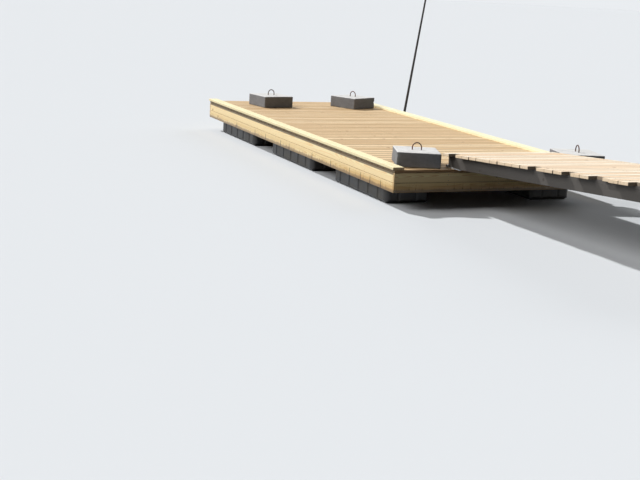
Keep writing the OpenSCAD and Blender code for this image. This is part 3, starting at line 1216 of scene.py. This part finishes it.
@dataclass
class Frame(TimberWork):
    """The joists, end beams and blocking under the deck."""

    def build(self) -> list[Stick]:
        """Builds the frame.

        Returns:
            The inner joists, which the deck is screwed to.
        """
        for side in ("left", "right"):
            self.timber(f"{side}_side_joist", f"side_joist_{side}", Finish.FRAME)
        for end in ("near", "far"):
            self.timber(f"{end}_beam", f"{end}_end_beam", Finish.FRAME)
        self.timber("blocking_pieces", "blocking", Finish.FRAME)
        return self.timber("joists", "inner_joists", Finish.FRAME)


@dataclass
class Gangway(TimberWork):
    """The hinged gangway: stringers, noggins and boards."""

    inset: float = 0.024
    sawn: float = 0.78

    def build(self) -> None:
        """Builds the gangway and its screws."""
        stringers = []
        for place in ("left", "middle", "right"):
            stringers += self.timber(f"gangway_beam_{place}", f"stringer_{place}", Finish.SHADED_STRINGER)
        self.timber("noggin_pieces", "gangway_noggins", Finish.SHADED_STRINGER)
        boards = []
        for group in ("inner", "middle", "shore"):
            boards += self.timber(
                f"gangway_planks_{group}", f"gangway_boards_{group}", Finish.GANGWAY,
                bow=0.001, ragged=0.002, cuts=4, sawn=self.sawn,
            )
        self.screws("gangway_screws", self.crossing_screws(boards, stringers, self.inset))


@dataclass
class Fittings(SubAssembly):
    """Pieces that are bolted on, and the bolts that hold them."""

    washer_r: float = 0.013
    washer_t: float = 0.002
    washer_taper: float = 0.96
    head_r: float = 0.0095
    head_t: float = 0.0065
    head_chamfer: float = 0.12
    head_crown: float = 0.07
    plate_edge: float = 0.0009
    smooth: float = 35.0

    def bolt(self) -> Mesh:
        """Makes one hexagon head on its washer, standing on z = 0.

        Returns:
            Its mesh.
        """
        mesh = bmesh.new()
        disc(mesh, 20, self.washer_r, self.washer_r * self.washer_taper, 0.0, self.washer_t)
        disc(mesh, 6, self.head_r, self.head_r, self.washer_t, self.head_t)
        top = max(mesh.faces, key=lambda face: face.calc_center_median().z)
        bmesh.ops.inset_region(
            mesh, faces=[top], thickness=self.head_r * self.head_chamfer, use_even_offset=True
        )
        bmesh.ops.translate(mesh, vec=(0, 0, self.head_r * self.head_crown), verts=top.verts)
        return mesh

    def bolts(self, name: str, places: Sequence[Matrix]) -> None:
        """Makes one piece of all the bolts at the places given."""
        self.add(name, repeated(self.bolt(), places), Finish.GALVANISED)

    def copy(self, name: str, node: str, finish: Finish, radius: float, angle: float = 30.0) -> None:
        """Dresses a copy of a node with its edges rounded.

        Args:
            name: The piece's name.
            node: The node.
            finish: The piece's finish.
            radius: The edges' radius.
            angle: The angle in degrees past which two faces meet in an edge.
        """
        mesh = merged(self.frame, node)
        rounded(mesh, radius, angle=angle)
        bmesh.ops.dissolve_degenerate(mesh, dist=1e-6, edges=mesh.edges)
        self.add(name, mesh, finish, [node], smooth=self.smooth)


@dataclass
class Floats(Fittings):
    """The six moulded floats under the frame."""

    edge_r: float = 0.006
    edge_angle: float = 40.0
    flange_t: float = 0.020
    flange_inset: float = 0.017
    bolt_pitch: float = 0.36

    def build(self) -> None:
        """Builds the floats and the bolts in their flanges."""
        places = []
        for side in ("left", "right"):
            for row in ("near", "middle", "far"):
                node = f"float_{side}_{row}"
                self.copy(f"{node}_moulding", node, Finish.FLOAT, self.edge_r, self.edge_angle)
                places += self.flange_bolts(*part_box(node))
        self.bolts("float_bolts", places)

    def flange_bolts(self, low: Vector, high: Vector) -> list[Matrix]:
        """Places a float's bolts, with their heads under its flange.

        Args:
            low: The float's lowest corner.
            high: Its highest corner.

        Returns:
            The places of the bolts.
        """
        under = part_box("inner_joists")[0].z - self.flange_t
        facing = Matrix.Rotation(math.pi, 4, "X")
        places = []
        count = int((high.y - low.y) / self.bolt_pitch)
        for number in range(count):
            y = (low.y + high.y) / 2 + (number - (count - 1) / 2) * self.bolt_pitch
            for x in (low.x + self.flange_inset, high.x - self.flange_inset):
                places.append(Matrix.Translation((x, y, under)) @ facing)
        return places


@dataclass
class Weights(SubAssembly):
    """The four cast mooring weights and their bent lifting loops."""

    seed: int = 40
    chamfer: float = 0.009
    cuts: int = 26
    rough: float = 0.0011
    rough_lumps: float = 22.0
    grit: float = 0.0006
    chip_r: tuple[float, float] = (0.012, 0.03)
    chip_depth: float = 0.45
    chip_count: int = 9
    bar_r: float = 0.006
    loop_r: float = 0.046
    loop_h: float = 0.076
    loop_set: float = 0.078
    pinch: float = 1.08
    lean: float = 0.05

    def build(self) -> None:
        """Builds the weights and their loops."""
        for number, place in enumerate(("near_left", "near_right", "far_left", "far_right")):
            node, loop = f"weight_{place}", f"loop_{place}"
            mesh = merged(self.frame, node)
            block = Stick.measured(list(mesh.verts))
            mesh.free()
            cast = self.cast(block, number)
            self.add(f"mooring_weight_{place}", cast, Finish.CONCRETE, [node], smooth=50.0)
            bar = self.bent_bar(block, loop, number)
            self.add(f"lifting_loop_{place}", bar, Finish.LOOP, [loop], smooth=60.0)

    def cast(self, block: Stick, number: int) -> Mesh:
        """Makes a block with chamfered, chipped edges and faces that aren't quite flat.

        Args:
            block: Its place and size.
            number: Its number, which sets its own faults.

        Returns:
            Its mesh.
        """
        chance = random.Random(self.seed + number)
        mesh = bmesh.new()
        bmesh.ops.create_cube(mesh, size=1.0, matrix=Matrix.Diagonal((*(2 * block.half), 1.0)))
        rounded(mesh, self.chamfer)
        long = [edge for edge in mesh.edges if edge.calc_length() > block.half.z]
        bmesh.ops.subdivide_edges(mesh, edges=long, cuts=self.cuts, use_grid_fill=True)
        chips = [self.chip(block, chance) for _ in range(self.chip_count)]
        for corner in mesh.verts:
            spot = corner.co * self.rough_lumps + Vector((number * 9.0, 0, 0))
            depth = self.rough * (0.5 + 0.5 * noise.noise(spot)) + self.grit * (1 + noise.noise(spot * 7))
            for middle, reach in chips:
                near = 1 - (corner.co - middle).length / reach
                if near > 0:
                    depth += self.chip_depth * reach * near * (0.8 + 0.4 * noise.noise(spot * 5))
            corner.co -= corner.co.normalized() * depth
        bmesh.ops.transform(mesh, matrix=block.frame_at(0, 0, 0), verts=mesh.verts)
        return mesh

    def chip(self, block: Stick, chance: random.Random) -> tuple[Vector, float]:
        """Draws a chip on one of the block's edges.

        Args:
            block: The block.
            chance: The source of chance.

        Returns:
            The chip's middle, from the block's, and its radius.
        """
        middle = Vector(chance.choice((-1, 1)) * size for size in block.half)
        axis = chance.randrange(3)
        middle[axis] *= chance.uniform(-1, 1)
        return middle, chance.uniform(*self.chip_r)

    def bent_bar(self, block: Stick, node: str, number: int) -> Mesh:
        """Bends a round bar into a loop that stands in the block.

        Args:
            block: The block.
            node: The construction node of the loop, which says across which axis it stands.
            number: Its number, which sets its lean.

        Returns:
            The bar's mesh.
        """
        straight = self.loop_h - self.loop_r - self.bar_r
        mesh = bmesh.new()
        ring = bmesh.ops.create_circle(
            mesh, cap_ends=True, segments=18, radius=self.bar_r,
            matrix=Matrix.Translation((self.loop_r, 0, -self.loop_set)),
        )["verts"]
        edges = list(dict.fromkeys(edge for corner in ring for edge in corner.link_edges))
        top = self.pushed(mesh, edges, self.loop_set + straight)
        bent = bmesh.ops.spin(
            mesh, geom=top, cent=(0, 0, straight), axis=(0, -1, 0), dvec=(0, 0, 0), angle=math.pi, steps=22
        )["geom_last"]
        last = self.pushed(mesh, edges_in(bent), -self.loop_set - straight)
        bmesh.ops.contextual_create(mesh, geom=last)
        lean = self.lean * math.sin(2.3 * number + 0.6)
        for corner in mesh.verts:
            up = max(0.0, corner.co.z)
            corner.co.x *= 1 - self.pinch * up * up / self.loop_h
            corner.co.y += lean * up
        bmesh.ops.recalc_face_normals(mesh, faces=mesh.faces)
        low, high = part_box(node)
        size = high - low
        reaches = [abs(axis.x) * size.x + abs(axis.y) * size.y for axis in block.axes.col]
        turn = Matrix.Identity(4) if reaches[0] >= reaches[1] else Matrix.Rotation(math.pi / 2, 4, "Z")
        bmesh.ops.transform(mesh, matrix=block.frame_at(0, 0, block.half.z) @ turn, verts=mesh.verts)
        return mesh

    @staticmethod
    def pushed(mesh: Mesh, edges: Sequence[Edge], height: float) -> list[Edge]:
        """Draws a ring of edges out along Z.

        Args:
            mesh: The mesh.
            edges: The ring.
            height: How far.

        Returns:
            The new ring.
        """
        made = bmesh.ops.extrude_edge_only(mesh, edges=list(edges))["geom"]
        bmesh.ops.translate(mesh, vec=(0, 0, height), verts=corners_in(made))
        return [edge for edge in edges_in(made) if abs(edge.verts[0].co.z - edge.verts[1].co.z) < 1e-6]


@dataclass
class FixedHinges(Fittings):
    """The hinge leaves on the deck, their pins, and the mooring bracket with its pole."""

    plate_t: float = 0.008
    bolt_inset: float = 0.019
    least_sides: int = 12
    long_edge: float = 0.5
    pole_rings: int = 40
    pole_edge: float = 0.004
    pole_wear: float = 0.06

    def build(self) -> None:
        """Builds the fixed fittings and the pole."""
        for side in ("left", "right"):
            self.copy(f"hinge_plate_{side}", f"hinge_leaf_{side}", Finish.GALVANISED, self.plate_edge)
        self.copy("pins", "hinge_pins", Finish.PIN, self.plate_edge)
        self.copy("pole_bracket", "mooring_bracket", Finish.GALVANISED, self.plate_edge)
        self.bolts("bracket_bolts", self.plate_bolts(*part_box("mooring_bracket")))
        self.pole()

    def plate_bolts(self, low: Vector, high: Vector) -> list[Matrix]:
        """Places a bolt at each corner of the bracket's plate.

        Args:
            low: The bracket's lowest corner, at the plate's inner face.
            high: Its highest corner.

        Returns:
            The places of the bolts.
        """
        facing = Matrix.Rotation(math.pi / 2, 4, "Y")
        return [
            Matrix.Translation((low.x + self.plate_t, y, z)) @ facing
            for y in (low.y + self.bolt_inset, high.y - self.bolt_inset)
            for z in (low.z + self.bolt_inset, high.z - self.bolt_inset)
        ]

    def pole(self) -> None:
        """Dresses the pole: a copy of its node, cut into rings and made slightly uneven."""
        mesh = merged(self.frame, "mooring_pole")
        round_faces = (face for face in mesh.faces if len(face.verts) > self.least_sides)
        ends = sorted((face.calc_center_median() for face in round_faces), key=lambda middle: middle.z)
        foot, top = ends[0], ends[-1]
        axis = (top - foot).normalized()
        long = [edge for edge in mesh.edges if edge.calc_length() > self.long_edge]
        bmesh.ops.subdivide_edges(mesh, edges=long, cuts=self.pole_rings, use_grid_fill=True)
        rounded(mesh, self.pole_edge, angle=60.0)
        grain = mesh.verts.layers.float_vector.new("grain")
        across = axis.orthogonal()
        through = axis.cross(across)
        for corner in mesh.verts:
            away = corner.co - foot
            along = away.dot(axis)
            corner[grain] = (along, away.dot(across), away.dot(through))
            out = away - along * axis
            wear = 0.5 + 0.5 * noise.noise(Vector((along * 5, *(out * 40).xy)))
            corner.co -= out * self.pole_wear * wear
        self.add("tarred_pole", mesh, Finish.POLE, ["mooring_pole"], smooth=40.0)


@dataclass
class MovingHinges(Fittings):
    """The hinge straps under the gangway's outer stringers."""

    leaf_t: float = 0.0065
    bolt_places: tuple[float, ...] = (0.035, 0.095)

    def build(self) -> None:
        """Builds the straps and the bolts that hold them to the stringers."""
        places = []
        facing = Matrix.Rotation(math.pi, 4, "X")
        for side in ("left", "right"):
            node = f"hinge_strap_{side}"
            self.copy(f"hinge_bar_{side}", node, Finish.GALVANISED, self.plate_edge)
            low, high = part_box(node)
            leaf_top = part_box(f"hinge_leaf_{side}")[0].z + self.leaf_t
            for place in self.bolt_places:
                middle = ((low.x + high.x) / 2, low.y + place, leaf_top)
                places.append(Matrix.Translation(middle) @ facing)
        self.bolts("strap_bolts", places)


@dataclass(frozen=True)
class Lamp:
    """A soft sun lamp. It stands at an azimuth from +Y towards +X; its angles are in degrees."""

    name: str
    strength: float
    azimuth: float
    elevation: float
    spread: float

    def level(self) -> float:
        """Gives how brightly it lights a level white surface."""
        return self.strength * math.sin(math.radians(self.elevation)) / math.pi

    def hang(self) -> None:
        """Makes the lamp."""
        data = bpy.data.lights.new(self.name, "SUN")
        data.energy = self.strength
        data.angle = math.radians(self.spread)
        turn, lift = math.radians(self.azimuth), math.radians(self.elevation)
        towards = Vector((math.sin(turn) * math.cos(lift), math.cos(turn) * math.cos(lift), math.sin(lift)))
        lamp = placed(self.name, data)
        lamp.rotation_mode = "QUATERNION"
        lamp.rotation_quaternion = towards.to_track_quat("Z", "Y")


@dataclass(frozen=True)
class Studio:
    """The pale floor, the soft light and the camera of the picture."""

    floor_half: float = 120.0
    floor_tone: Colour = tone(222, 225, 228)
    bounce_tone: Colour = tone(86, 87, 88)
    sky: float = 0.1
    lamps: tuple[Lamp, ...] = (
        Lamp("key", 2.9, -30.0, 42.0, 3.0),
        Lamp("left_fill", 1.8, -82.0, 32.0, 30.0),
        Lamp("right_fill", 0.8, 72.0, 25.0, 50.0),
    )
    focal_px: float = 1175.3
    picture_px: int = 640
    sensor: float = 36.0
    sight: float = 500.0
    stand: tuple[float, float, float] = (-5.1914, -9.9020, 1.7873)
    yaw: float = 0.4238
    pitch: float = 0.2216
    roll: float = -0.0601

    def build(self) -> None:
        """Sets the stage, the lights and the camera."""
        self.floor()
        self.world()
        for lamp in self.lamps:
            lamp.hang()
        self.camera()
        bpy.context.scene.view_settings.view_transform = "Standard"

    def floor(self) -> None:
        """Lays the floor, pale to the eye and in reflections, which casts less light up than it shows."""
        mesh = bmesh.new()
        bmesh.ops.create_grid(mesh, x_segments=4, y_segments=4, size=self.floor_half)
        data = written("floor", mesh)
        made = Shader("floor", 0.9)
        made.surface.inputs["Specular IOR Level"].default_value = 0.0
        path = made.node("ShaderNodeLightPath").outputs
        seen = made.maths("MAXIMUM", path["Is Camera Ray"], path["Is Glossy Ray"])
        shade = made.mix(seen, self.bounce_tone, self.floor_tone)
        data.materials.append(made.finish(shade, made.lumps(made.place, (60.0,) * 3), 0.0002))
        placed("floor", data)

    def world(self) -> None:
        """Sets an even sky, which shows as a backdrop of the floor's own tone."""
        world = bpy.data.worlds.new("sky")
        world.use_nodes = True
        bpy.context.scene.world = world
        tree = world.node_tree
        background = tree.nodes["Background"]
        background.inputs["Color"].default_value = (*self.floor_tone, 1.0)
        path = tree.nodes.new("ShaderNodeLightPath")
        seen = tree.nodes.new("ShaderNodeMath")
        seen.operation = "MAXIMUM"
        level = tree.nodes.new("ShaderNodeMapRange")
        level.inputs["To Min"].default_value = self.sky
        level.inputs["To Max"].default_value = self.sky + sum(lamp.level() for lamp in self.lamps)
        tree.links.new(path.outputs["Is Camera Ray"], seen.inputs[0])
        tree.links.new(path.outputs["Is Glossy Ray"], seen.inputs[1])
        tree.links.new(seen.outputs[0], level.inputs["Value"])
        tree.links.new(level.outputs[0], background.inputs["Strength"])

    def camera(self) -> None:
        """Stands the camera where the picture was taken, measured from the trim's near left corner."""
        flat = math.cos(self.pitch)
        forward = Vector((math.sin(self.yaw) * flat, math.cos(self.yaw) * flat, -math.sin(self.pitch)))
        level = Vector((math.cos(self.yaw), -math.sin(self.yaw), 0.0))
        steep = forward.cross(level)
        right = math.cos(self.roll) * level + math.sin(self.roll) * steep
        down = math.cos(self.roll) * steep - math.sin(self.roll) * level
        data = bpy.data.cameras.new("camera")
        data.sensor_width = self.sensor
        data.lens = self.focal_px / self.picture_px * self.sensor
        data.clip_end = self.sight
        camera = placed("camera", data)
        turn = Matrix((right, -down, -forward)).transposed().to_4x4()
        camera.matrix_world = Matrix.Translation(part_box("left_trim")[0] + Vector(self.stand)) @ turn
        bpy.context.scene.camera = camera


def main() -> None:
    """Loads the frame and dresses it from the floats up."""
    logging.basicConfig(level=logging.INFO, format="%(name)s: %(message)s")
    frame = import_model()
    paints = Paintbox(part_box("left_trim")[0].y)
    Floats(frame, paints, Body.PONTOON).build()
    joists = Frame(frame, paints, Body.PONTOON).build()
    Deck(frame, paints, Body.PONTOON).build(joists)
    Weights(frame, paints, Body.PONTOON).build()
    FixedHinges(frame, paints, Body.PONTOON).build()
    Gangway(frame, paints, Body.GANGWAY).build()
    MovingHinges(frame, paints, Body.GANGWAY).build()
    Studio().build()


if __name__ == "__main__":
    main()
